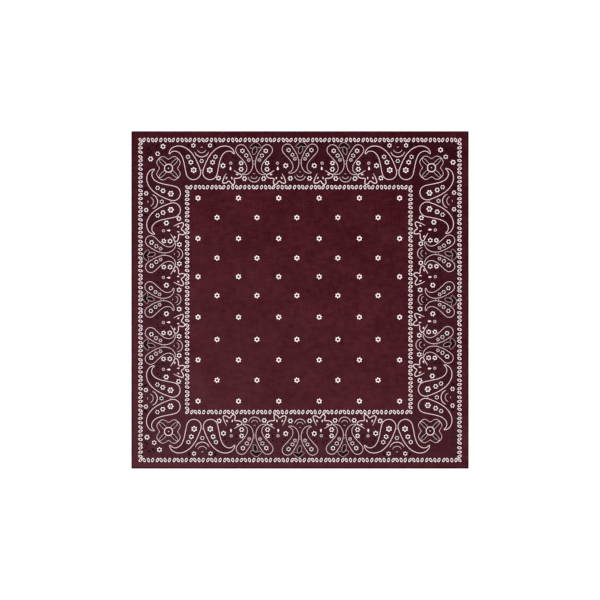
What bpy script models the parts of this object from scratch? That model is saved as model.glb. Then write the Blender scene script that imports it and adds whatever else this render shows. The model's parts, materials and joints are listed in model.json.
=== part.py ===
"""Square silk neck scarf, laid out flat: one printed panel of cloth and its four rolled edges.

Metres, +Z up. The origin is the middle of the scarf, on the surface that it lies on.
+X is the right edge, +Y is the back edge and -Y is the front edge.
"""

from collections import namedtuple
from math import cos, pi, radians, sin

import bmesh
import bpy

# Driving dimensions, in metres.
SIDE = 0.650  # side of the finished square, measured over its rolled edges
ROLL = 0.0024  # diameter of a rolled edge
SEAM_GAP = 0.0003  # clearance between neighbouring pieces
WALL = 0.001  # thickness of the cloth wall
EDGE_FLAT = 0.025  # the cloth lies dead flat this near to a rolled edge
EDGE_FADE = 0.050  # the ripples grow to their full height over this distance from there
CELLS = 40  # grid squares along one side of the panel
ROLL_ROUNDNESS = 4  # bevel resolution of a rolled edge, which gives it twelve sides

# The low ripples left in the cloth. x and y are a ripple's middle, and heading is the
# direction of its crest in degrees from +X; length and width are measured to its flat ends.
Ripple = namedtuple("Ripple", "x y heading length width height")
RIPPLES = (
    Ripple(x=-0.185, y=0.125, heading=63, length=0.30, width=0.074, height=0.0011),
    Ripple(x=-0.105, y=0.180, heading=74, length=0.17, width=0.056, height=0.0006),
    Ripple(x=-0.045, y=0.105, heading=-17, length=0.18, width=0.060, height=0.0005),
    Ripple(x=0.130, y=0.175, heading=-36, length=0.27, width=0.078, height=0.0010),
    Ripple(x=0.205, y=0.030, heading=84, length=0.21, width=0.062, height=0.0008),
    Ripple(x=0.085, y=-0.095, heading=19, length=0.22, width=0.066, height=0.0005),
    Ripple(x=0.190, y=-0.185, heading=41, length=0.25, width=0.070, height=0.0010),
    Ripple(x=-0.040, y=-0.205, heading=7, length=0.20, width=0.058, height=0.0007),
    Ripple(x=-0.205, y=-0.120, heading=-55, length=0.26, width=0.072, height=0.0012),
    Ripple(x=-0.120, y=-0.030, heading=-28, length=0.16, width=0.054, height=0.0004),
)

# Worked out from the driving dimensions.
INNER_SIDE = SIDE - 2 * (ROLL + SEAM_GAP)  # clear width between two opposite rolled edges
ROLL_LINE = (SIDE - ROLL) / 2  # distance from the middle of the scarf to a roll's own middle


def clear_scene():
    """Remove every object, so that the script gives the same model each time."""
    for thing in list(bpy.data.objects):
        bpy.data.objects.remove(thing, do_unlink=True)


def collection(name):
    """A new collection in the scene."""
    group = bpy.data.collections.new(name)
    bpy.context.scene.collection.children.link(group)
    return group


def cloth_finish(name, colour, roughness):
    """A plain silk finish: a linear colour, with a little sheen on it."""
    finish = bpy.data.materials.new(name)
    finish.use_nodes = True
    shader = finish.node_tree.nodes["Principled BSDF"]
    shader.inputs["Base Color"].default_value = (*colour, 1)
    shader.inputs["Roughness"].default_value = roughness
    shader.inputs["Metallic"].default_value = 0
    shader.inputs["Sheen Weight"].default_value = 0.2
    return finish


def bump(distance):
    """A smooth rise and fall: 1 at distance 0, and level again, at 0, at distance 1."""
    if abs(distance) >= 1:
        return 0.0
    return 0.5 + 0.5 * cos(pi * distance)


def edge_rise(x, y):
    """0 beside the rolled edges and 1 in the middle of the cloth, with a soft step between."""
    inward = INNER_SIDE / 2 - max(abs(x), abs(y))
    share = min(max((inward - EDGE_FLAT) / EDGE_FADE, 0), 1)
    return share * share * (3 - 2 * share)


def lift(x, y):
    """How far the cloth stands off the surface at a place: the tallest ripple there."""
    tallest = 0.0
    for ripple in RIPPLES:
        heading = radians(ripple.heading)
        along = (x - ripple.x) * cos(heading) + (y - ripple.y) * sin(heading)
        across = (y - ripple.y) * cos(heading) - (x - ripple.x) * sin(heading)
        shape = bump(2 * along / ripple.length) * bump(2 * across / ripple.width)
        tallest = max(tallest, ripple.height * shape)
    return tallest * edge_rise(x, y)


def silk_panel(home, finish):
    """The square of cloth: a grid raised along its ripples, then given its wall."""
    sheet = bmesh.new()
    bmesh.ops.create_grid(sheet, x_segments=CELLS, y_segments=CELLS, size=INNER_SIDE / 2)
    for vertex in sheet.verts:
        vertex.co.z = lift(vertex.co.x, vertex.co.y)
    mesh = bpy.data.meshes.new("silk_panel")
    sheet.to_mesh(mesh)
    sheet.free()
    mesh.materials.append(finish)
    mesh.shade_smooth()
    panel = bpy.data.objects.new("silk_panel", mesh)
    wall = panel.modifiers.new("wall", "SOLIDIFY")
    wall.thickness = WALL
    wall.offset = 1  # the wall grows upwards, so the underside stays on the surface
    home.objects.link(panel)


def rolled_edge(name, middle, turn, length, home, finish):
    """A rolled edge: a round roll of cloth along local X, with flat ends."""
    curve = bpy.data.curves.new(name, "CURVE")
    curve.dimensions = "3D"
    curve.bevel_depth = ROLL / 2
    curve.bevel_resolution = ROLL_ROUNDNESS
    curve.use_fill_caps = True
    line = curve.splines.new("POLY")
    line.points.add(1)
    line.points[0].co = (-length / 2, 0, 0, 1)
    line.points[1].co = (length / 2, 0, 0, 1)
    curve.materials.append(finish)
    roll = bpy.data.objects.new(name, curve)
    roll.location = middle
    roll.rotation_euler.z = turn
    home.objects.link(roll)


def build_scarf():
    """All five pieces: the side rolls run corner to corner, and the others fit between them."""
    home = collection("silk_scarf")
    panel_finish = cloth_finish("burgundy_silk", colour=(0.071, 0.014, 0.021), roughness=0.5)
    roll_finish = cloth_finish("burgundy_silk_roll", colour=(0.058, 0.011, 0.017), roughness=0.55)
    silk_panel(home, panel_finish)
    height = ROLL / 2
    rolled_edge("hem_left", (-ROLL_LINE, 0, height), pi / 2, SIDE, home, roll_finish)
    rolled_edge("hem_right", (ROLL_LINE, 0, height), pi / 2, SIDE, home, roll_finish)
    rolled_edge("hem_front", (0, -ROLL_LINE, height), 0, INNER_SIDE, home, roll_finish)
    rolled_edge("hem_back", (0, ROLL_LINE, height), 0, INNER_SIDE, home, roll_finish)


clear_scene()
build_scarf()
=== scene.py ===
"""The looks of a square silk scarf laid out flat.

The cloth, its rolled and slip stitched edges, and the white and black print of its field and
its paisley border. The print is drawn on a 650 mm square, so its own sizes and places are in
millimetres from the middle of the scarf. They are given for the back border, from its left
end to its middle, and the other stretches repeat it.
"""

import json
from collections import namedtuple
from math import atan2, ceil, cos, hypot, pi, radians, sin, sqrt
from random import Random

import bpy
import numpy as np
from mathutils import Matrix, Vector

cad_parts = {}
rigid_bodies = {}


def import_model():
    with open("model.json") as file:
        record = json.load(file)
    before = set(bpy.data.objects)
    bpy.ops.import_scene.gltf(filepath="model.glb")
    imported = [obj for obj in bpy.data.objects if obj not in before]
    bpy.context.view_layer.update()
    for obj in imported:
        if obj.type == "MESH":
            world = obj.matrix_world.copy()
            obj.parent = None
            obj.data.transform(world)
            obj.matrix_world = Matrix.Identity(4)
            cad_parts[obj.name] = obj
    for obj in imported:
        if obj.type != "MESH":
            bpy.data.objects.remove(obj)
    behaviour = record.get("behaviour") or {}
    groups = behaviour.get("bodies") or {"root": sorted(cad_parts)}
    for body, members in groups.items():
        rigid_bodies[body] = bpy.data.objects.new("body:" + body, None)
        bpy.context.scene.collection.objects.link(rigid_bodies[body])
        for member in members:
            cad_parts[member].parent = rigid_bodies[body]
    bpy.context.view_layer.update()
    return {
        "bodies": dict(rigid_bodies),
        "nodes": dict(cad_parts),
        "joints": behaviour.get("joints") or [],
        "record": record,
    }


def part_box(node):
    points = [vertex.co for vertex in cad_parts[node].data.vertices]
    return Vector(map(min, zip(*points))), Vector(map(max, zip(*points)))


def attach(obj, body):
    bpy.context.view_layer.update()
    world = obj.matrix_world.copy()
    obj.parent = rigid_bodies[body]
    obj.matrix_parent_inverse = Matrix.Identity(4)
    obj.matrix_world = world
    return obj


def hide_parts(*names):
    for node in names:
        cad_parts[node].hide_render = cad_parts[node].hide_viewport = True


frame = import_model()

MM = 0.001

# The scarf, from the frame.
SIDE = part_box("hem_left")[1].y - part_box("hem_left")[0].y
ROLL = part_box("hem_left")[1].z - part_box("hem_left")[0].z
ROLL_LINE = (SIDE - ROLL) / 2  # from the middle of the scarf to a roll's own middle
PANEL_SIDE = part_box("silk_panel")[1].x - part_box("silk_panel")[0].x

# The cloth.
CLOTH = 0.30 * MM  # thickness of the silk as it is modelled
CLOTH_MIDDLE = 0.25 * MM  # height of the middle of its thickness where it lies flat
CELLS = 190  # grid squares along one side
TUCK = 0.9 * MM  # how far it runs into a roll
EDGE_FLAT = 0.025  # the cloth lies flat this far in from its edge
EDGE_FADE = 0.050  # and takes this much more to reach its full ripples
PUCKER = 0.12 * MM  # height of the small waves that the hem stitches pull into the cloth
PUCKER_REACH = 11 * MM

ROLL_STEP = 1.2 * MM  # between the sections of a roll

# The hem stitches.
STITCH_PITCH = 6.1 * MM
STITCH_LENGTH = 1.25 * MM
STITCH_THICKNESS = 0.30 * MM
STITCH_HEIGHT = 0.62 * MM

# The print.
# How far it stands out of both faces of the cloth. The black is lower than the white.
PROUD = {"white_print": 0.08 * MM, "black_print": 0.05 * MM}
LEVEL = 0.010 * MM  # step between lines that cross
RIM = 0.75  # how far the black shows round the white
BORDER = (0.221, 0.304)  # the print's border lies between these distances from the middle
BORDER_TONE = (0.77, 0.95, 0.90)  # red, green and blue of its ground, as shares of the field's
BORDER_BLUR = 0.003  # half the width of the step between the two grounds
THREADS = 2600.0  # each way in a metre of the cloth
SILK_SHEEN_TINT = (1.0, 0.66, 0.74)

# The dyes and inks: a deep or thin shade, a bright or full one, their roughness and shine.
DYES = {
    "burgundy_silk": ((0.031, 0.0001, 0.0028), (0.061, 0.0086, 0.0146), 0.42, 0.10),
    # The rolls' silk is the cloth's silk painted darker: painted shade for the shaded outer flanks of
    # the rolls.
    "rolled_silk_painted_shade": ((0.024, 0.0002, 0.0018), (0.047, 0.0070, 0.0110), 0.48, 0.10),
    "hem_thread": ((0.045, 0.0030, 0.0070), (0.072, 0.0130, 0.0190), 0.45, 0.20),
}
INKS = {
    "white": ((0.76, 0.615, 0.62), (0.94, 0.805, 0.81), 0.72, 0.12),
    "faint": ((0.44, 0.31, 0.32), (0.58, 0.44, 0.45), 0.72, 0.12),
    "line": ((0.76, 0.555, 0.56), (0.93, 0.70, 0.705), 0.72, 0.12),
    "smoky": ((0.013, 0.0040, 0.0042), (0.009, 0.0034, 0.0036), 0.7, 0.04),
    "black": ((0.012, 0.0015, 0.0022), (0.007, 0.0010, 0.0014), 0.7, 0.03),
}

# The low ripples left in the cloth: a ripple's middle, the heading of its crest in degrees
# from +X, its length and width to its flat ends, and its height, all in metres.
RIPPLES = (
    (-0.185, 0.125, 63, 0.30, 0.074, 0.0011),
    (-0.105, 0.180, 74, 0.17, 0.056, 0.0006),
    (-0.045, 0.105, -17, 0.18, 0.060, 0.0005),
    (0.130, 0.175, -36, 0.27, 0.078, 0.0010),
    (0.205, 0.030, 84, 0.21, 0.062, 0.0008),
    (0.085, -0.095, 19, 0.22, 0.066, 0.0005),
    (0.190, -0.185, 41, 0.25, 0.070, 0.0010),
    (-0.040, -0.205, 7, 0.20, 0.058, 0.0007),
    (-0.205, -0.120, -55, 0.26, 0.072, 0.0012),
    (-0.120, -0.030, -28, 0.16, 0.054, 0.0004),
)

# Chains of rings: where the middle line of a chain is on each side of the scarf, how many rings
# one side has, counting one of its two corner rings, and where in RING_GROUP a side starts.
Chain = namedtuple("Chain", "left right front back rings first")
OUTER_CHAIN = Chain(left=-307.5, right=307.5, front=-308.5, back=308.5, rings=76, first=1)
INNER_CHAIN = Chain(left=-217.5, right=213, front=-216, back=217.5, rings=54, first=0)
RING_LENGTH = 8.6
RING_WIDTH = 5.2
SLOT_LENGTH = 5.4
SLOT_WIDTH = 2.9
SLOT_LEAN = 10  # degrees that a slot leans more than its ring
WEDGE = (5.2, 2.6)  # the black diamonds between rings: length and width
CORNER_LEAN = 45
CORNER_STEP = 6.9  # from a corner ring to the next one
# The rings go in fours: the lean of each in degrees, and the step to the next ring.
RING_GROUP = ((-26, 8.9), (-17, 8.2), (14, 7.7), (26, 7.3))

# The field: rows of six florets and rows of five between them.
SIX_COLUMNS = (-196.5, -118.5, -41.0, 37.0, 114.5, 192.0)
SIX_ROWS = (196.5, 118.5, 45.0, -33.0, -115.5, -195.0)
FIVE_COLUMNS = (-160.0, -83.0, -6.0, 73.0, 150.5)
FIVE_ROWS = (159.0, 81.0, 8.5, -76.0, -154.5)
FIELD_FLORET = 10.5
FIELD_HOLE = 4.5

# Where the border's motifs stand along it.
MEDALLION = 254.0
PAISLEY_AXIS = -189.5
BUTTERFLY_AXIS = -88.5
BLOSSOM_AXIS = -133.5

# The printing is a little out of true. These are its shifts along X and Y in the back, left,
# front and right border, and in the left and right half of each, seen from the middle.
HALF_DRIFTS = (((0, 0), (-1, 0)), ((1, 0), (1.5, 0)), ((-2.5, 2), (1, 2)), ((-1, 1.5), (-4, 2)))
BLOSSOM_DRIFTS = (HALF_DRIFTS[0], ((0.5, 0), (0.5, 0)), HALF_DRIFTS[2], ((-3, 1.5), (-4, 2)))
MIDDLE_DRIFTS = ((0, 0), (1.5, 1), (0, 1.5), (-3, 1))
MEDALLION_DRIFTS = ((0.5, 0), (0.5, 0.5), (-3, 1.5), (-0.5, 1))
CORNER_DRIFTS = ((0, 0), (1, -0.5), None, (-1, 1.5))  # the front right one is bare

# A paisley's middle line starts in its round end on a heading and curls by a turn over its
# length, both in degrees. A higher curl comes nearer the tip. x is from the axis of its pair.
Paisley = namedtuple("Paisley", "x y heading turn curl length bulb line")
LARGE_PAISLEY = Paisley(16, 246, heading=74, turn=-145, curl=2.7, length=77, bulb=13, line=1.1)
BUTTERFLY_WING = Paisley(-25, 289, heading=-51, turn=-130, curl=2.5, length=58, bulb=9.5, line=0.8)
TAPER = 1.5  # a higher taper narrows later
TIP = 1.0  # the half width left at the tip
PAISLEY_NECK = (0.42, 0.95)  # between these shares of its length a large paisley is hatched
WING_NECK = (0.40, 0.93)
HATCH_PITCH = 1.3
HATCH_LINE = 0.28
HATCH_MARGIN = 1.0
# The small links between the two of a pair: their y, length and width.
PAISLEY_LINK = (250.5, 1.0, 2.4)
WING_LINKS = ((267.8, 1.7, 0.9), (262.2, 1.7, 0.9))

# Florets: place, width over the petals, width of the hole, and turn in degrees. The first two
# lists are from the axis of a pair and belong to both of its sides.
PAISLEY_FLORETS = (
    (15.5, 250.5, 11.5, 6, 0),
    (21, 265.5, 9.5, 5, 0),
    (26.5, 276, 8.5, 5, 0),
    (16, 298, 8.5, 4.5, 0),
)
WING_FLORETS = (
    (-22.5, 287.5, 9, 5, 0),
    (-15, 278.5, 8, 5, 0),
    (-25, 264, 9, 4.5, -15),
    (-25, 252, 9.5, 5, 30),
    (-18.5, 234, 9.5, 5, 30),
)
SINGLE_FLORETS = ((-189.5, 268, 8, 5, 30), (-148.5, 259, 10, 5, 0), (-157, 235, 9.5, 5, 10))
MIDDLE_FLORETS = (
    (-22, 289, 8.5, 5, 0),
    (-14.5, 280, 7.5, 4.5, 0),
    (-27.5, 259, 10, 5, 12),
    (-18.5, 234.5, 9.5, 5, 30),
)
CORNER_FLORETS = ((-264, 296, 10, 5, -6), (-274.5, 282, 9, 5, 30), (-288, 272, 10, 5, 30))
OPEN_HOLE = 5.5  # a hole wider than this has a pale dot in it

# The small florets in the wings and the beads over the blossoms: their width and hole, the
# width of the black under them, and where they are.
SMALL_FLORET = (7.5, 3.2)
SMALL_FLORET_EYE = 6.6
SMALL_IN_WING = (-10.4, 270.0)
SMALL_IN_MIDDLE = (-9.8, 272.2)
BEAD = (5.8, 2.9)
BEAD_EYE = 5.6
BEAD_PLACE = (0, 263.8)

# Black marks, shaped like leaves: place, turn in degrees, length and width.
BLOSSOM_MARKS = (
    (-9.5, 276, 20, 7, 2.5),
    (-13.5, 269.5, 40, 4.5, 3),
    (10, 273, -30, 5, 3),
    (10, 264.5, -25, 5.5, 3),
    (3.5, 275.5, -10, 5.5, 2),
    (23, 243.5, -25, 6, 3.5),
)
PAISLEY_MARKS = ((24.5, 300.5, 75, 6.5, 3), (25.5, 297.5, 60, 6, 3))
CORNER_MARKS = (
    (-284.5, 298.5, 80, 6, 3),
    (-277, 296, -65, 6.5, 3.5),
    (-273.5, 300, -20, 5, 3),
    (-291.5, 292, -5, 7, 3),
    (-287, 285, -35, 6.5, 3.5),
    (-291.5, 282, 75, 5, 3),
)
BLOSSOM_SEEDS = ((-8, 235.5, -25, 5, 2.5), (2, 235.5, 10, 5, 2.5), (12, 242, 70, 5, 2.5))

# An open blossom: the directions of its petals in degrees and how far they reach.
BLOSSOM_HEART = (-1, 238)
BLOSSOM_PETALS = ((220, 18.5), (294, 16.5), (366, 22))
BLOSSOM_NOTCH = 9
BLOSSOM_ENDS = ((-9, 244), (6, 250))
BLOSSOM_LINE = 1.35
# The drop that hangs in it and the black round the drop: place, length and width.
BLOSSOM_DROP = (-0.6, 254.0, 7.0, 3.8)
DROP_SHADE = (-0.6, 254.4, 9.4, 6.2)
# Arcs: the middle of each circle on the axis of the motif, its radius, how far the arc goes to
# each side in degrees, and its line.
PAIR_ARCS = ((290.5, 14.5, 70, 1.1), (293, 9, 70, 0.7), (297.5, 3, 40, 0.65))
WING_ARCS = ((239, 11.5, 82, 0.85), (240.5, 6.5, 75, 0.6), (248.5, 5, 22, 0.6))
MIDDLE_ARCS = ((242, 11, 76, 0.85), (243.5, 6.5, 75, 0.6), (252, 5, 16, 0.6))
MIDDLE_BAR = (234.5, 1.9, 8.6)  # the black bar in them: its y, length and width
# A bud: its domed cap, the two scallops under it, and its leaf.
BUD_LINE = 0.6
BUD_LINES = (
    ((-9, 295), (-4, 300), (3, 304), (9, 301), (14, 295)),
    ((-9, 295), (-4, 292), (1, 294.5)),
    ((6, 295), (10, 293.5), (14, 295)),
)
BUD_CAP = ((-6, 295, 1), (-2, 297, 4.5), (3, 298, 7.5), (7, 297.5, 5), (11, 296, 1))
BUD_LEAF = (1, 288, -16)
BUD_LEAF_EDGE = (17, 9)
BUD_LEAF_BLADE = (15, 6.5)
# A medallion: the quatrefoil's mean reach, how deep its lobes and their dimples are, its line,
# and half of one of its spears, from its foot to its point.
QUATREFOIL = (23, 4.3, 1.2, 0.8)
SPEAR_SIDE = ((8, 2.5), (16, 3), (23, 2), (25.5, 0.3))
SPEAR_LINE = 0.5
SPEAR_CORE = (15.4, 11, 2)  # how far out it lies, its length and its width
# The widths, outside and inside, of its eye: the white ring, its rim and the black well in it.
EYE_RING = (17, 14.1)
EYE_RIM = (18.6, 12.5)
EYE_WELL = (12.6, 9.4)
EYE_DOT = 2.1


# ----- the shape of the cloth


def bump(distance):
    """A smooth rise and fall: 1 at distance 0, and level at 0 from distance 1 on."""
    return np.where(np.abs(distance) < 1, 0.5 + 0.5 * np.cos(pi * distance), 0.0)


def inward(x, y):
    """How far in from the nearest edge of the cloth each place is."""
    return PANEL_SIDE / 2 - np.maximum(np.abs(x), np.abs(y))


def edge_rise(x, y):
    """0 beside the rolled edges and 1 in the middle of the cloth, with a soft step."""
    share = np.clip((inward(x, y) - EDGE_FLAT) / EDGE_FADE, 0, 1)
    return share * share * (3 - 2 * share)


def hem_pucker(x, y):
    """Small uneven waves along the edges, where the hem stitches draw the cloth up."""
    along = np.where(np.abs(x) > np.abs(y), y, x)
    wave = 0.6 * np.sin(along * 2 * pi / 0.0187) + 0.4 * np.sin(along * 2 * pi / 0.0291 + x * 9)
    into = inward(x, y)
    fade = np.clip(1 - into / PUCKER_REACH, 0, 1) * np.clip(into / (3 * MM), 0, 1)
    return PUCKER * fade * (0.5 + 0.5 * wave)


def cloth_height(x, y):
    """Height of the middle of the cloth's thickness at each place."""
    tallest = np.zeros_like(x)
    for middle_x, middle_y, degrees, length, width, height in RIPPLES:
        heading = radians(degrees)
        along = (x - middle_x) * cos(heading) + (y - middle_y) * sin(heading)
        across = (y - middle_y) * cos(heading) - (x - middle_x) * sin(heading)
        shape = bump(2 * along / length) * bump(2 * across / width)
        tallest = np.maximum(tallest, height * shape)
    return CLOTH_MIDDLE + tallest * edge_rise(x, y) + hem_pucker(x, y)


def lay_on_cloth(piece):
    """Lift every point of a piece by the height of the cloth there."""
    points = np.empty(len(piece.data.vertices) * 3, np.float32)
    piece.data.vertices.foreach_get("co", points)
    places = points.reshape(-1, 3).astype(float)
    places[:, 2] += cloth_height(places[:, 0], places[:, 1])
    piece.data.vertices.foreach_set("co", places.astype(np.float32).ravel())
    piece.data.update()


# ----- small workshop helpers


def select_only(*pieces):
    """Select these pieces and nothing else, the first of them active."""
    bpy.ops.object.select_all(action="DESELECT")
    for piece in reversed(pieces):
        piece.select_set(True)
        bpy.context.view_layer.objects.active = piece


def thicken(piece, thickness):
    """Give a flat piece a thickness, half of it above and half below."""
    select_only(piece)
    modifier = piece.modifiers.new("thickness", "SOLIDIFY")
    modifier.thickness = thickness
    modifier.offset = 0
    bpy.ops.object.modifier_apply(modifier=modifier.name)


def joined(pieces):
    """Several pieces as one."""
    select_only(*pieces)
    if len(pieces) > 1:
        bpy.ops.object.join()
    return bpy.context.view_layer.objects.active


def linked(name, data):
    """A new object of this data in the scene."""
    piece = bpy.data.objects.new(name, data)
    bpy.context.scene.collection.objects.link(piece)
    return piece


def as_mesh(piece):
    """A drawn curve turned into a mesh."""
    select_only(piece)
    bpy.ops.object.convert(target="MESH")
    return bpy.context.view_layer.objects.active


def finished(piece, name, slot, finish, *nodes):
    """Name a piece, finish it, and fasten it to the frame."""
    piece.name = name
    piece.data.name = name
    piece.data.materials.clear()
    piece.data.materials.append(finish)
    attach(piece, "root")
    if nodes:
        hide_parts(*nodes)
    return piece


# ----- places for stamped motifs


def spot(x, y, turn=0.0, size=1.0):
    """A place for a stamp, in mm from the middle of the scarf and degrees."""
    moved = Matrix.Translation((x * MM, y * MM, 0))
    return moved @ Matrix.Rotation(radians(turn), 4, "Z") @ Matrix.Scale(size, 4)


MIRROR = Matrix.Scale(-1, 4, (1, 0, 0))
PAISLEY_PAIR = [spot(PAISLEY_AXIS, 0), spot(PAISLEY_AXIS, 0) @ MIRROR]
WING_PAIR = [spot(BUTTERFLY_AXIS, 0), spot(BUTTERFLY_AXIS, 0) @ MIRROR]
MIDDLE_BUTTERFLY = spot(0, 10.2, size=0.97)
MIDDLE_PAIR = [MIDDLE_BUTTERFLY, MIDDLE_BUTTERFLY @ MIRROR]


def stretched(x, y, turn, length, width):
    """A place for a stamp 1 mm wide and long, drawn out to a length and width."""
    return spot(x, y, turn) @ Matrix.Diagonal((width, length, 1, 1))


def about(axis):
    """Mirror from one side of a line across the border to the other."""
    return Matrix.Translation((2 * axis * MM, 0, 0)) @ MIRROR


def in_each_border(spots, drifts=MIDDLE_DRIFTS):
    """Spots of the back border, and the same in the other borders. None leaves one out."""
    places = []
    for quarter, drift in enumerate(drifts):
        if drift is not None:
            places += [spot(*drift, quarter * 90) @ place for place in spots]
    return places


def in_each_half(spots, drifts=HALF_DRIFTS):
    """Spots of the left half of the back border, and the same in the other halves."""
    left, right = zip(*drifts)
    mirrored = [MIRROR @ place for place in spots]
    return in_each_border(spots, left) + in_each_border(mirrored, right)


def stamp(motif, spots):
    """A copy of a flat motif at each spot, all joined. The motif itself is used up."""
    copies = []
    for place in spots:
        mesh = motif.data.copy()
        mesh.transform(place)
        if place.determinant() < 0:
            mesh.flip_normals()
        copies.append(linked("stamped", mesh))
    bpy.data.objects.remove(motif)
    return joined(copies)


def raised(motif, levels):
    """A flat motif lifted by a few levels, over the lines it crosses."""
    motif.data.transform(Matrix.Translation((0, 0, levels * LEVEL)))
    return motif


def sunk(motif, levels):
    """A flat motif, all on one low level, under the lines and marks."""
    for vertex in motif.data.vertices:
        vertex.co.z = -levels * LEVEL
    return motif


# ----- flat motifs


def flat_disc(length, width, corners=14):
    """A filled oval, its length along Y."""
    select_only()
    bpy.ops.mesh.primitive_circle_add(vertices=corners, radius=MM / 2, fill_type="TRIFAN")
    disc = bpy.context.object
    disc.data.transform(Matrix.Diagonal((width, length, 1, 1)))
    return disc


def band(outer, inner):
    """A flat ring of faces between two closed rows of points, both clockwise, in mm."""
    count = len(outer)
    faces = []
    for corner in range(count):
        following = (corner + 1) % count
        faces.append((corner, corner + count, following + count, following))
    mesh = bpy.data.meshes.new("band")
    mesh.from_pydata([(x * MM, y * MM, 0) for x, y in (*outer, *inner)], [], faces)
    mesh.update()
    return linked("band", mesh)


def flat_ring(corners, outline, hole):
    """A ring between two outlines, each a function from an angle to a radius in mm."""
    angles = [pi / 2 - 2 * pi * corner / corners for corner in range(corners)]
    rows = [[(reach(a) * cos(a), reach(a) * sin(a)) for a in angles] for reach in (outline, hole)]
    return band(*rows)


def oval(length, width):
    """An oval outline, its length along Y, as a function from an angle to a radius."""
    return lambda angle: length * width / 2 / hypot(length * cos(angle), width * sin(angle))


def round_ring(corners, width, hole):
    """A plain round ring."""
    return flat_ring(corners, oval(width, width), oval(hole, hole))


def leaning(outline, degrees):
    """The same outline, turned."""
    return lambda angle: outline(angle - radians(degrees))


def floret(width, hole, petals=6):
    """A ring of round petals with deep notches, one of them pointing up."""
    reach = width / 2

    def petal_edge(angle):
        spacing = 2 * pi / petals
        off_petal = (angle - pi / 2 + spacing / 2) % spacing - spacing / 2
        aside = 0.71 * reach * sin(off_petal)
        if abs(aside) > 0.29 * reach:
            return 0.57 * reach
        tip = 0.71 * reach * cos(off_petal) + sqrt((0.29 * reach) ** 2 - aside ** 2)
        return max(tip, 0.57 * reach)

    return flat_ring(6 * petals, petal_edge, oval(hole, hole))


def pointed(shape, length, fullness):
    """Narrow a flat shape to a point at both of its ends along Y."""
    for vertex in shape.data.vertices:
        share = min(abs(vertex.co.y) / (length / 2 * MM), 1.0)
        vertex.co.x *= (1 - share * share) ** fullness
    return shape


def leaf(length, width):
    """A filled leaf."""
    return pointed(flat_disc(length, width, corners=12), length, 0.35)


def leaf_ring(length, width):
    """The outline of a leaf."""
    ring = flat_ring(24, oval(length, width), oval(length - 1.6, width - 1.4))
    return pointed(ring, length, 0.2)


def teardrop(length, width):
    """A filled drop with its point up, along Y."""
    shape = flat_disc(length, width, corners=14)
    for vertex in shape.data.vertices:
        share = min((vertex.co.y / (length / 2 * MM) + 1) / 2, 1.0)
        vertex.co.x *= (1 - share) ** 0.6 * 1.3
    return shape


def rim_disc(length, width, levels, corners=14):
    """The black under a white oval, which shows as a rim round it."""
    return sunk(flat_disc(length + 2 * RIM, width + 2 * RIM, corners), levels)


def flat_nib():
    """The nib that draws the print's lines: a flat edge 1.14 mm wide."""
    edge = bpy.data.curves.new("nib", "CURVE")
    line = edge.splines.new("POLY")
    line.points.add(1)
    line.points[0].co = (-0.57 * MM, 0, 0, 1)
    line.points[1].co = (0.57 * MM, 0, 0, 1)
    return linked("nib", edge)


def drawn(nib, lines, steps=6):
    """Lines drawn with the nib, as one flat mesh. A line is a row of (x, y, width) knots in mm.
    Each later line lies one level higher."""
    curve = bpy.data.curves.new("drawn", "CURVE")
    curve.dimensions = "3D"
    curve.twist_mode = "Z_UP"
    curve.resolution_u = steps
    curve.bevel_mode = "OBJECT"
    curve.bevel_object = nib
    for level, line in enumerate(lines):
        spline = curve.splines.new("BEZIER")
        spline.bezier_points.add(len(line) - 1)
        for knot, (x, y, width) in zip(spline.bezier_points, line):
            knot.co = (x * MM, y * MM, level * LEVEL)
            knot.radius = width
            knot.handle_left_type = "AUTO"
            knot.handle_right_type = "AUTO"
    return as_mesh(linked("drawn", curve))


def inked(line, knots):
    """A line's knots with its width, narrower at both ends."""
    ends = (0, len(knots) - 1)
    return [(x, y, line * (0.5 if n in ends else 1)) for n, (x, y) in enumerate(knots)]


def arc_line(y, radius, sweep, line):
    """The knots of an arc that hangs from the axis of its motif."""
    angles = [radians(share * sweep) for share in (-1, -0.66, -0.33, 0, 0.33, 0.66, 1)]
    return inked(line, [(radius * sin(angle), y - radius * cos(angle)) for angle in angles])


def blossom_line():
    """The knots of a blossom's edge: its petals, with notches between them."""
    x, y = BLOSSOM_HEART
    knots = []
    for direction, reach in BLOSSOM_PETALS:
        for aside, fullness in ((-36, 0), (-16, 0.6), (0, 1), (16, 0.6)):
            angle = radians(direction + aside)
            out = BLOSSOM_NOTCH + (reach - BLOSSOM_NOTCH) * fullness
            knots.append((x + out * cos(angle), y + out * sin(angle)))
    return inked(BLOSSOM_LINE, [BLOSSOM_ENDS[0], *knots[1:], BLOSSOM_ENDS[1]])


def rims(nib, lines, levels):
    """The black under white lines, which shows as a rim along them."""
    wider = [[(x, y, width + 2 * RIM) for x, y, width in line] for line in lines]
    return sunk(drawn(nib, wider), levels)


def paisley_spine(shape, steps=60):
    """The middle line of a paisley, in rows of x, y and half width, and its headings."""
    share = np.linspace(0, 1, steps + 1)
    heading = np.radians(shape.heading + shape.turn * share ** shape.curl)
    ahead = np.stack([np.cos(heading), np.sin(heading)], axis=1)
    strides = (ahead[1:] + ahead[:-1]) / 2 * shape.length / steps
    places = np.vstack([(0, 0), np.cumsum(strides, axis=0)]) + (shape.x, shape.y)
    half = shape.bulb * (1 - share ** TAPER) + TIP
    return np.column_stack([places, half]), ahead


def paisley_edge(fine, ahead, offset):
    """The closed outline of a paisley, moved out by an offset."""
    reach = np.maximum(fine[:, 2] + offset, 0.03)
    side = np.stack([-ahead[:, 1], ahead[:, 0]], axis=1) * reach[:, None]
    bulb = end_cap(fine[0, :2], -ahead[0], reach[0], 14)
    tip = end_cap(fine[-1, :2], ahead[-1], reach[-1], 6)
    return np.vstack([fine[:, :2] + side, tip, (fine[:, :2] - side)[::-1], bulb])


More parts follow.
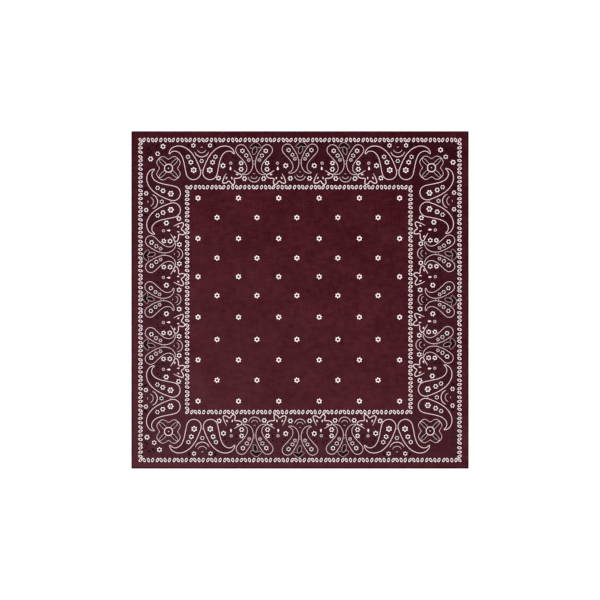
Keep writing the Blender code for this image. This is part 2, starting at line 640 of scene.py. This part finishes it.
def end_cap(middle, outward, radius, steps):
    """Points round a half circle at an end of a paisley."""
    angles = atan2(outward[1], outward[0]) + pi / 2 - pi * np.arange(1, steps) / steps
    return middle + radius * np.stack([np.cos(angles), np.sin(angles)], axis=1)


def paisley_outline(shape, wider=0):
    """The line round a paisley, as a flat ring of faces."""
    spine = paisley_spine(shape)
    half = (shape.line + wider) / 2
    return band(paisley_edge(*spine, half), paisley_edge(*spine, -half))


def neck_hatching(nib, shape, first, last):
    """Fine lines across a paisley, from one share of its length to another."""
    spine = np.hstack(paisley_spine(shape))
    travelled = np.linspace(0, shape.length, len(spine))
    lines = []
    for distance in np.arange(first * shape.length, last * shape.length, HATCH_PITCH):
        x, y, half, ahead_x, ahead_y = (np.interp(distance, travelled, part) for part in spine.T)
        reach = half - HATCH_MARGIN
        if reach > 0.4:
            bow = 0.25 * reach
            start = (x - ahead_y * reach, y + ahead_x * reach)
            end = (x + ahead_y * reach, y - ahead_x * reach)
            lines.append(inked(HATCH_LINE, (start, (x + ahead_x * bow, y + ahead_y * bow), end)))
    return sunk(drawn(nib, lines, steps=3), 0)


# ----- pieces of print


def printed(parts, name, slot, finish):
    """A piece of print: flat shapes joined, made a little thicker than the cloth, and laid on
    it, so that they show on both faces."""
    piece = joined(parts)
    thicken(piece, CLOTH + 2 * PROUD[slot])
    lay_on_cloth(piece)
    return finished(piece, name, slot, finish)


def white_piece(parts, name, finish):
    """A piece of the white print."""
    return printed(parts, name, "white_print", finish)


def ring_row(length, chain, hand):
    """The rings along a side of a chain: how far each is from the corner, and its lean."""
    row = [(0.0, CORNER_LEAN)]
    along = CORNER_STEP
    for number in range(chain.rings - 1):
        lean, step = RING_GROUP[(chain.first + number) % len(RING_GROUP)]
        row.append((along + hand.uniform(-0.3, 0.3), lean + hand.uniform(-6, 6)))
        along += step
    stretch = length / along
    return [(place * stretch, lean) for place, lean in row]


def chain_sides(chain, seed):
    """The sides of a chain, clockwise from the back: the place of each, and its rings."""
    hand = Random(seed)
    width = chain.right - chain.left
    depth = chain.back - chain.front
    starts = (
        (chain.left, chain.back, width),
        (chain.right, chain.back, depth),
        (chain.right, chain.front, width),
        (chain.left, chain.front, depth),
    )
    return [
        (spot(x, y, -90 * number), ring_row(length, chain, hand))
        for number, (x, y, length) in enumerate(starts)
    ]


def ring_spots(sides):
    """The places of the rings. A ring that leans back is a mirror image."""
    places = []
    for side, row in sides:
        for along, lean in row:
            place = side @ spot(along, 0, lean)
            places.append(place @ MIRROR if lean > 0 else place)
    return places


def wedge_spots(sides):
    """The places where neighbours lean apart, and those beside two that lean alike."""
    places = []
    for side, row in sides:
        for (along, lean), (next_along, next_lean) in zip(row[1:], row[2:]):
            middle = (along + next_along) / 2
            if lean * next_lean < 0:
                places.append(side @ spot(middle, 2.9 if lean > 0 else -2.9))
            else:
                aside = 1.2 if lean < 0 else -1.2
                places.append(side @ spot(middle + aside, 2.7, lean))
                places.append(side @ spot(middle - aside, -2.7, lean))
    return places


def ring_chain(sides, name, white):
    """A chain of leaning rings round the scarf, and the black under and between them."""
    slot = leaning(oval(SLOT_LENGTH, SLOT_WIDTH), -SLOT_LEAN)
    ring = flat_ring(16, oval(RING_LENGTH, RING_WIDTH), slot)
    places = ring_spots(sides)
    piece = white_piece([stamp(ring, places)], name, white)
    dark = [
        stamp(rim_disc(RING_LENGTH, RING_WIDTH, 1, 12), places[::2]),
        stamp(rim_disc(RING_LENGTH, RING_WIDTH, 2, 12), places[1::2]),
        stamp(flat_disc(*WEDGE, 4), wedge_spots(sides)),
    ]
    return piece, dark


def floret_places(rows):
    """The places of the florets of each width and hole, from rows of florets and the places
    that each row repeats at."""
    places = {}
    for row, frames in rows:
        for x, y, width, hole, turn in row:
            spots = places.setdefault((width, hole), [])
            spots += [frame @ spot(x, y, turn) for frame in frames]
    return places


def florets(places):
    """The florets, with the pale dots of the open ones."""
    made = []
    for (width, hole), spots in places.items():
        made.append(stamp(raised(floret(width, hole), 2), spots))
        if hole > OPEN_HOLE:
            made.append(stamp(flat_disc(0.27 * hole, 0.27 * hole, 8), spots))
    return made


def eyes(sets):
    """The black under the florets, which shows in their holes and round them."""
    made = []
    for places in sets.values():
        for (width, _), spots in places.items():
            made.append(stamp(rim_disc(width - 0.6, width - 0.6, 0.5, 18), spots))
    return made


# ----- finishes


def texture_group(name, values, results):
    """A shader node group that reads a place and these values, and its two ends."""
    group = bpy.data.node_groups.new(name, "ShaderNodeTree")
    group.interface.new_socket("Vector", in_out="INPUT", socket_type="NodeSocketVector")
    for label, value in values.items():
        socket = group.interface.new_socket(label, in_out="INPUT", socket_type="NodeSocketFloat")
        socket.default_value = value
    for label in results:
        group.interface.new_socket(label, in_out="OUTPUT", socket_type="NodeSocketFloat")
    return group, group.nodes.new("NodeGroupInput"), group.nodes.new("NodeGroupOutput")


def give(tree, node, inputs):
    """Give a node's sockets their values, or their links to other sockets."""
    for label, value in inputs.items():
        if isinstance(value, bpy.types.NodeSocket):
            tree.links.new(value, node.inputs[label])
        else:
            node.inputs[label].default_value = value


def add_node(tree, kind, inputs, **settings):
    """The outputs of a new shader node with these settings and inputs."""
    node = tree.nodes.new(kind)
    for setting, value in settings.items():
        setattr(node, setting, value)
    give(tree, node, inputs)
    return node.outputs


def noise(tree, place, stretch, detail, roughness=0.55):
    """A noise with so many features to a metre each way."""
    place = add_node(tree, "ShaderNodeMapping", {"Vector": place, "Scale": stretch})["Vector"]
    inputs = {"Vector": place, "Scale": 1.0, "Detail": detail, "Roughness": roughness}
    return add_node(tree, "ShaderNodeTexNoise", inputs)["Fac"]


def calculate(tree, operation, first, second):
    """A maths node on two sockets or numbers."""
    return add_node(tree, "ShaderNodeMath", {0: first, 1: second}, operation=operation)[0]


def silk_weave_group():
    """The crossing threads of plain silk: their height, and the slubs among them."""
    group, start, end = texture_group("silk_weave", {"Threads": THREADS}, ("Height", "Slubs"))
    place = start.outputs["Vector"]
    ways = add_node(group, "ShaderNodeSeparateXYZ", {0: place})
    turns = calculate(group, "MULTIPLY", start.outputs["Threads"], 2 * pi)
    waves = [calculate(group, "MULTIPLY", ways[way], turns) for way in "XY"]
    crossing = calculate(group, "MULTIPLY", *[calculate(group, "SINE", wave, 0) for wave in waves])
    slubs = [noise(group, place, stretch, 3) for stretch in ((760, 30, 1), (26, 680, 1))]
    slubs = calculate(group, "SUBTRACT", calculate(group, "ADD", *slubs), 0.5)
    height = calculate(group, "ADD", calculate(group, "MULTIPLY", crossing, 0.25), slubs)
    give(group, end, {"Height": height, "Slubs": slubs})
    return group


def silk_mottle_and_sheen_group():
    """The unevenness of the dye, wide clouds and small blotches, each about 0.5; a painted sheen
    that makes the cloth paler towards its front left corner, about 0; and where its border is."""
    results = ("Clouds", "Blotches", "Painted Sheen", "Border")
    group, start, end = texture_group("silk_mottle_and_sheen", {}, results)
    place = start.outputs["Vector"]
    ways = add_node(group, "ShaderNodeSeparateXYZ", {0: place})
    # Painted sheen: the colour grows paler towards the front left corner.
    leftward = calculate(group, "MULTIPLY", ways["X"], -0.5)
    frontward = calculate(group, "MULTIPLY", ways["Y"], -0.8)
    sides = [calculate(group, "ABSOLUTE", ways[way], 0) for way in "XY"]
    outward = calculate(group, "MAXIMUM", *sides)
    steps = [spread(group, outward, edge - BORDER_BLUR, edge + BORDER_BLUR) for edge in BORDER]
    found = {
        "Clouds": noise(group, place, (11, 13, 1), 3),
        "Blotches": noise(group, place, (70, 85, 1), 5, 0.68),
        "Painted Sheen": calculate(group, "ADD", leftward, frontward),
        "Border": calculate(group, "SUBTRACT", *steps),
    }
    give(group, end, found)
    return group


def mixed(tree, share, first, second):
    """A colour between two others, each a socket or an RGB triple."""
    colours = [(*colour, 1) if isinstance(colour, tuple) else colour for colour in (first, second)]
    # The mix node's colour sockets are 6 and 7, and its colour comes out at 2.
    inputs = {0: share, 6: colours[0], 7: colours[1]}
    return add_node(tree, "ShaderNodeMix", inputs, data_type="RGBA")[2]


def spread(tree, value, low, high, to_low=0.0, to_high=1.0):
    """A value stretched from one range to another, clamped."""
    ends = {"From Min": low, "From Max": high, "To Min": to_low, "To Max": to_high}
    return add_node(tree, "ShaderNodeMapRange", {"Value": value, **ends})["Result"]


def woven_finish(name, groups, roughness, uneven, specular, tint, relief):
    """A finish on woven silk that has no colour yet, with its tree, the slubs of its threads,
    and the unevenness of its dye together with a painted sheen."""
    finish = bpy.data.materials.new(name)
    finish.use_nodes = True
    tree = finish.node_tree
    place = add_node(tree, "ShaderNodeTexCoord", {})["Object"]
    weave, mottle_and_sheen = groups
    inputs = {"Vector": place, "Threads": THREADS}
    threads = add_node(tree, "ShaderNodeGroup", inputs, node_tree=weave)
    dye = add_node(tree, "ShaderNodeGroup", {"Vector": place}, node_tree=mottle_and_sheen)
    rougher, smoother = uneven
    depth, strength = relief
    inputs = {"Height": threads["Height"], "Strength": strength, "Distance": depth}
    surface = {
        "Specular IOR Level": specular,
        "Specular Tint": (*tint, 1),
        "Roughness": spread(tree, dye["Blotches"], 0.3, 0.7, roughness + rougher, roughness - smoother),
        "Normal": add_node(tree, "ShaderNodeBump", inputs)["Normal"],
    }
    give(tree, tree.nodes["Principled BSDF"], surface)
    return finish, tree, threads["Slubs"], dye


def silk_finish(name, groups, deep, bright, roughness, specular):
    """Silk between two shades, with clouds, blotches and slubs, a painted sheen that is paler towards
    the front left, and browner in the border.
    """
    finish, tree, slubs, dye = woven_finish(
        name, groups, roughness, (0.05, 0.05), specular, SILK_SHEEN_TINT, (0.06 * MM, 0.5)
    )
    clouds = spread(tree, dye["Clouds"], 0.3, 0.7, 0.0, 0.28)
    blotches = spread(tree, dye["Blotches"], 0.33, 0.67, 0.0, 0.42)
    slubs = spread(tree, slubs, 0.25, 0.75, 0.0, 0.30)
    shade = calculate(tree, "ADD", calculate(tree, "ADD", clouds, blotches), slubs)
    # The painted sheen is added here, paler towards the front left corner.
    shade = calculate(tree, "ADD", spread(tree, shade, 0.2, 0.8), dye["Painted Sheen"])
    toned = [tuple(a * b for a, b in zip(colour, BORDER_TONE)) for colour in (deep, bright)]
    grounds = (mixed(tree, shade, deep, bright), mixed(tree, shade, *toned))
    dyed = mixed(tree, dye["Border"], *grounds)
    give(tree, tree.nodes["Principled BSDF"], {"Base Color": dyed})
    return finish


def print_finish(name, groups, thin, full, roughness, specular):
    """Printed ink between a thin and a full cover, with the weave showing in it."""
    finish, tree, slubs, dye = woven_finish(
        name, groups, roughness, (0.08, 0.04), specular, (1, 1, 1), (0.04 * MM, 0.4)
    )
    blotches = spread(tree, dye["Blotches"], 0.3, 0.6, 0.0, 0.65)
    cover = calculate(tree, "ADD", blotches, spread(tree, slubs, 0.2, 0.8, 0.0, 0.35))
    ink = mixed(tree, cover, thin, full)
    give(tree, tree.nodes["Principled BSDF"], {"Base Color": ink})
    return finish


# ----- cloth, rolls and stitches


def silk_cloth(finish):
    """The square of silk in low ripples, its edges inside the rolls."""
    select_only()
    side = PANEL_SIDE + 2 * TUCK
    bpy.ops.mesh.primitive_grid_add(x_subdivisions=CELLS, y_subdivisions=CELLS, size=side)
    cloth = bpy.context.object
    thicken(cloth, CLOTH)
    lay_on_cloth(cloth)
    select_only(cloth)
    bpy.ops.object.shade_smooth_by_angle(angle=radians(40))
    return finished(cloth, "silk_cloth", "burgundy_silk", finish, "silk_panel")


def roll_thickness(distance, waves):
    """How thick a roll is along it, as a share of its size: uneven, pinched at the stitches."""
    uneven = sum(size * sin(distance * 2 * pi / length + phase) for size, length, phase in waves)
    past = (distance / STITCH_PITCH + 0.5) % 1 - 0.5
    pinch = 0.03 * max(0.0, 1 - abs(past) * STITCH_PITCH / (1.6 * MM))
    return 0.975 + uneven - pinch


def rolled_hem(name, start, end, seed, finish):
    """A roll of silk along a side, with rounded ends."""
    hand = Random(seed)
    waves = [
        (share, length * MM, hand.uniform(0, 2 * pi))
        for share, length in ((0.011, 47), (0.007, 21), (0.005, 9.3))
    ]
    length = (end - start).length
    count = ceil(length / ROLL_STEP)
    curve = bpy.data.curves.new(name, "CURVE")
    curve.dimensions = "3D"
    curve.bevel_depth = ROLL / 2
    curve.bevel_resolution = 6
    curve.use_fill_caps = True
    line = curve.splines.new("POLY")
    line.points.add(count)
    for number, point in enumerate(line.points):
        distance = length * number / count
        from_end = min(distance, length - distance)
        rounding = min(1.0, 0.72 + 0.28 * from_end / ROLL_STEP)
        point.co = (*start.lerp(end, number / count), 1)
        point.radius = roll_thickness(distance, waves) * rounding
    roll = as_mesh(linked(name, curve))
    select_only(roll)
    bpy.ops.object.shade_smooth_by_angle(angle=radians(50))
    return finished(roll, "rolled_" + name, "rolled_hem", finish, name)


def slip_stitches(name, quarter, finish):
    """The row of slip stitches that holds a roll down, along its inner foot."""
    select_only()
    bpy.ops.mesh.primitive_uv_sphere_add(segments=8, ring_count=6, radius=0.5)
    stitch = bpy.context.object
    stitch.data.transform(Matrix.Diagonal((STITCH_LENGTH, STITCH_THICKNESS, STITCH_THICKNESS, 1)))
    lean = Matrix.Rotation(radians(-38), 4, "Y") @ Matrix.Rotation(radians(35), 4, "Z")
    stitch.data.transform(lean)
    stitch.data.shade_smooth()
    hand = Random(40 + quarter)
    inner_foot = ROLL_LINE - ROLL / 2 + 0.15 * MM
    turned = spot(0, 0, quarter * 90)
    count = int((SIDE - 4 * ROLL) / STITCH_PITCH)
    spots = []
    for number in range(count + 1):
        along = (number - count / 2) * STITCH_PITCH + hand.uniform(-0.5, 0.5) * MM
        swing = Matrix.Rotation(radians(hand.uniform(-12, 12)), 4, "Z")
        spots.append(turned @ Matrix.Translation((inner_foot, along, STITCH_HEIGHT)) @ swing)
    return finished(stamp(stitch, spots), name, "hem_thread", finish)


# ----- the print's motifs


def medallions(nib, white):
    """The four corner medallions: a quatrefoil, four spears and an eye."""
    mean, lobe, dimple, line = QUATREFOIL

    def quatrefoil(offset):
        return lambda angle: mean - lobe * cos(4 * angle) - dimple * cos(8 * angle) + offset

    parts = [flat_ring(96, quatrefoil(line / 2), quatrefoil(-line / 2))]
    spear = [(along, across, SPEAR_LINE) for along, across in SPEAR_SIDE]
    spear += [(along, -across, width) for along, across, width in reversed(spear)]
    corners = [spot(0, 0, 45 + 90 * turn) for turn in range(4)]
    parts.append(stamp(raised(drawn(nib, [spear]), 4), corners))
    parts.append(raised(round_ring(40, *EYE_RING), 5))
    parts.append(raised(flat_disc(EYE_DOT, EYE_DOT, 12), 5))
    places = in_each_border([spot(-MEDALLION, MEDALLION)], MEDALLION_DRIFTS)
    piece = white_piece([stamp(joined(parts), places)], "print_medallions", white)
    out, length, width = SPEAR_CORE
    core = teardrop(length, width)
    core.data.transform(spot(out, 0, -90))
    dark = [
        sunk(flat_ring(96, quatrefoil(line / 2 + RIM), quatrefoil(-line / 2 - RIM)), 1),
        stamp(rims(nib, [spear], 2), corners),
        stamp(core, corners),
        sunk(round_ring(40, *EYE_RIM), 3),
        round_ring(32, *EYE_WELL),
    ]
    return piece, stamp(joined(dark), places)


def links(rows, places):
    """The small links between the two of each pair."""
    discs = []
    for y, length, width in rows:
        discs.append(stamp(flat_disc(length, width, 8), [place @ spot(0, y) for place in places]))
    return raised(joined(discs), 1)


def paisleys(nib, shape, neck, level, places, joints, name, white):
    """Pairs of paisleys and the links between them, and the hatching and rims under them."""
    piece = white_piece([stamp(paisley_outline(shape), places), joints], name, white)
    hatching = neck_hatching(nib, shape, *neck)
    rim = sunk(paisley_outline(shape, 2 * RIM), level)
    return piece, stamp(joined([hatching, rim]), places)


def large_paisleys(nib, white):
    """Two pairs of large paisleys in each border, back to back."""
    places = in_each_half(PAISLEY_PAIR)
    joints = links([PAISLEY_LINK], in_each_half([spot(PAISLEY_AXIS, 0)]))
    name = "print_large_paisleys"
    return paisleys(nib, LARGE_PAISLEY, PAISLEY_NECK, 1, places, joints, name, white)


def butterfly_spots():
    """The middles of the butterflies."""
    return [*in_each_half([spot(BUTTERFLY_AXIS, 0)]), *in_each_border([MIDDLE_BUTTERFLY])]


def butterflies(nib, white):
    """Three butterflies in each border: pairs of paisley wings."""
    places = [*in_each_half(WING_PAIR), *in_each_border(MIDDLE_PAIR)]
    joints = links(WING_LINKS, butterfly_spots())
    return paisleys(nib, BUTTERFLY_WING, WING_NECK, 2, places, joints, "print_butterflies", white)


def hanging_arcs(nib, white):
    """The arcs between the large paisleys and below the butterflies."""
    middles = in_each_border([spot(0, 0)])
    rows = (
        (PAIR_ARCS, in_each_half([spot(PAISLEY_AXIS, 0)])),
        (WING_ARCS, in_each_half([spot(BUTTERFLY_AXIS, 0)])),
        (MIDDLE_ARCS, middles),
    )
    arcs = []
    y, length, width = MIDDLE_BAR
    dark = [stamp(flat_disc(length, width, 10), [place @ spot(0, y) for place in middles])]
    for row, places in rows:
        lines = [arc_line(*arc) for arc in row]
        arcs.append(stamp(drawn(nib, lines), places))
        dark.append(stamp(rims(nib, lines, 3), places))
    return white_piece(arcs, "print_arcs", white), joined(dark)


def blossom_spots():
    """The four blossoms of a border: on each side of both side butterflies."""
    first = spot(BLOSSOM_AXIS, 0)
    return in_each_half([first, about(BUTTERFLY_AXIS) @ first], BLOSSOM_DRIFTS)


def hung(x, y, length, width):
    """A drop at its place in a blossom."""
    drop = teardrop(length, width)
    drop.data.transform(spot(x, y))
    return drop


def blossoms(nib, white):
    """Open blossoms, their seeds, and the drops that hang in them."""
    places = blossom_spots()
    petals = [blossom_line()]
    flower = raised(drawn(nib, petals), 2)
    seeds = stamp(raised(teardrop(1, 1), 3), [stretched(*seed) for seed in BLOSSOM_SEEDS])
    parts = [stamp(joined([flower, seeds, hung(*BLOSSOM_DROP)]), places)]
    piece = white_piece(parts, "print_blossoms", white)
    return piece, stamp(joined([hung(*DROP_SHADE), rims(nib, petals, 3)]), places)


def floret_sets():
    """Where the florets are, by the name of their piece."""
    hand = Random(7)
    field = [(x, y) for y in SIX_ROWS for x in SIX_COLUMNS]
    field += [(x, y) for y in FIVE_ROWS for x in FIVE_COLUMNS]
    field_spots = [spot(x, y, hand.uniform(-14, 14)) for x, y in field]
    corners = in_each_border([spot(0, 0)], CORNER_DRIFTS)
    border_rows = [
        (PAISLEY_FLORETS, in_each_half(PAISLEY_PAIR)),
        (WING_FLORETS, in_each_half(WING_PAIR)),
        (SINGLE_FLORETS, in_each_half([spot(0, 0)])),
        (MIDDLE_FLORETS, in_each_border([spot(0, 0), MIRROR])),
    ]
    return {
        "print_border_florets": floret_places(border_rows),
        "print_corner_florets": floret_places([(CORNER_FLORETS, corners)]),
        "print_field_florets": {(FIELD_FLORET, FIELD_HOLE): field_spots},
    }


def small_rings(faint):
    """The small rings in the wings and over the blossoms."""
    wings = in_each_half([end @ spot(*SMALL_IN_WING) for end in WING_PAIR])
    wings += in_each_border([end @ spot(*SMALL_IN_MIDDLE) for end in (spot(0, 0), MIRROR)])
    over = [place @ spot(*BEAD_PLACE) for place in blossom_spots()]
    ring = raised(floret(*SMALL_FLORET), 2)
    parts = [stamp(ring, wings), stamp(raised(round_ring(20, *BEAD), 2), over)]
    rows = ((SMALL_FLORET_EYE, wings), (BEAD_EYE, over))
    dark = [stamp(rim_disc(width, width, 0.5), places) for width, places in rows]
    return white_piece(parts, "print_small_rings", faint), dark


def buds(nib, faint):
    """The dark bud at the top of each pair of wings: a domed cap and a slanting leaf."""
    places = butterfly_spots()
    lines = drawn(nib, [inked(BUD_LINE, knots) for knots in BUD_LINES])
    edge = raised(leaf_ring(*BUD_LEAF_EDGE), 5)
    edge.data.transform(spot(*BUD_LEAF))
    piece = white_piece([stamp(joined([lines, edge]), places)], "print_bud_lines", faint)
    blade = leaf(*BUD_LEAF_BLADE)
    blade.data.transform(spot(*BUD_LEAF))
    dark = joined([drawn(nib, [BUD_CAP]), raised(blade, 1)])
    return piece, stamp(dark, places)


def leaf_marks():
    """The black marks by the blossoms and paisleys and in the corners."""
    places = [place @ stretched(*mark) for place in blossom_spots() for mark in BLOSSOM_MARKS]
    places += in_each_half([end @ stretched(*mark) for end in PAISLEY_PAIR for mark in PAISLEY_MARKS])
    places += in_each_border([stretched(*mark) for mark in CORNER_MARKS], CORNER_DRIFTS)
    return stamp(leaf(1, 1), places)


def printed_pattern(inks):
    """All the print, white and black."""
    nib = flat_nib()
    white, faint, line, smoky, black = inks
    outer, outer_dark = ring_chain(chain_sides(OUTER_CHAIN, 3), "print_outer_chain", white)
    inner, inner_dark = ring_chain(chain_sides(INNER_CHAIN, 5), "print_inner_chain", white)
    corner_pieces, cores = medallions(nib, line)
    paisleys, paisley_necks = large_paisleys(nib, line)
    wings, wing_necks = butterflies(nib, line)
    arcs, bars = hanging_arcs(nib, line)
    flowers, shades = blossoms(nib, line)
    bud_lines, dark_buds = buds(nib, faint)
    small, small_dark = small_rings(faint)
    sets = floret_sets()
    centres = [*eyes(sets), *small_dark]
    pieces = [outer, inner, corner_pieces, paisleys, wings, arcs, flowers, bud_lines, small]
    pieces += [white_piece(florets(places), name, white) for name, places in sets.items()]
    dark_sets = (
        ("print_chain_shadows", [*outer_dark, *inner_dark], black),
        ("print_neck_hatching", [paisley_necks, wing_necks], black),
        ("print_dark_buds", [cores, dark_buds, bars, shades], smoky),
        ("print_leaf_marks", [leaf_marks()], black),
        ("print_floret_eyes", centres, black),
    )
    pieces += [printed(parts, name, "black_print", ink) for name, parts, ink in dark_sets]
    bpy.data.objects.remove(nib)
    return pieces


# ----- the studio


def studio_floor():
    """A wide white floor."""
    select_only()
    bpy.ops.mesh.primitive_plane_add(size=60)
    floor = bpy.context.object
    floor.name = "studio_floor"
    finish = bpy.data.materials.new("studio_white")
    finish.use_nodes = True
    surface = {"Base Color": (0.97, 0.97, 0.97, 1), "Roughness": 1.0, "Specular IOR Level": 0.0}
    give(finish.node_tree, finish.node_tree.nodes["Principled BSDF"], surface)
    floor.data.materials.append(finish)
    return floor


def studio_sun(name, strength, softness, azimuth, elevation):
    """A soft distant light from this azimuth and elevation, in degrees."""
    lamp = bpy.data.lights.new(name, "SUN")
    lamp.energy = strength
    lamp.angle = radians(softness)
    sun = linked(name, lamp)
    sun.rotation_euler = (radians(90 - elevation), 0, radians(azimuth + 90))


def studio_air(strength):
    """Even light from all round, which the camera sees as white."""
    air = bpy.data.worlds.new("studio_air")
    air.use_nodes = True
    bpy.context.scene.world = air
    tree = air.node_tree
    seen = add_node(tree, "ShaderNodeLightPath", {})["Is Camera Ray"]
    light = {"Color": (1, 1, 1, 1), "Strength": spread(tree, seen, 0, 1, strength, 1.05)}
    give(tree, tree.nodes["Background"], light)


def overhead_camera(distance, view_width):
    """A camera straight above, with its top at the back."""
    lens = bpy.data.cameras.new("overhead")
    lens.sensor_width = 36
    lens.lens = lens.sensor_width * distance / view_width
    lens.clip_end = 100
    camera = linked("overhead", lens)
    camera.location = (0, 0, distance)
    bpy.context.scene.camera = camera


def hem_rolls(finish):
    """The rolled edges: the side ones from corner to corner, the others between them."""
    half = SIDE / 2
    tucked = ROLL_LINE - ROLL / 2 + 0.6 * MM
    ends = {
        "hem_left": ((-ROLL_LINE, -half), (-ROLL_LINE, half)),
        "hem_right": ((ROLL_LINE, -half), (ROLL_LINE, half)),
        "hem_front": ((-tucked, -ROLL_LINE), (tucked, -ROLL_LINE)),
        "hem_back": ((-tucked, ROLL_LINE), (tucked, ROLL_LINE)),
    }
    rolls = []
    for number, (name, places) in enumerate(ends.items()):
        start, end = [Vector((*place, ROLL / 2)) for place in places]
        rolls.append(rolled_hem(name, start, end, 11 + number, finish))
    return rolls


def build_scarf():
    """The whole scarf and its studio."""
    floor = studio_floor()
    groups = (silk_weave_group(), silk_mottle_and_sheen_group())
    # The rolls get the darker silk, painted shade for their shaded flanks.
    silk, shaded_roll_silk, thread = [silk_finish(name, groups, *dye) for name, dye in DYES.items()]
    inks = [print_finish(name + "_print", groups, *ink) for name, ink in INKS.items()]
    cloth = silk_cloth(silk)
    rolls = hem_rolls(shaded_roll_silk)
    stitches = [
        slip_stitches(f"slip_stitches_{side}", quarter, thread)
        for quarter, side in enumerate(("right", "back", "left", "front"))
    ]
    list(printed_pattern(inks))
    studio_air(0.42)
    studio_sun("key", 2.8, 20, azimuth=242, elevation=60)
    studio_sun("fill", 0.4, 60, azimuth=60, elevation=50)
    overhead_camera(distance=2.4, view_width=1.1569)
    bpy.context.scene.view_settings.view_transform = "Standard"


build_scarf()
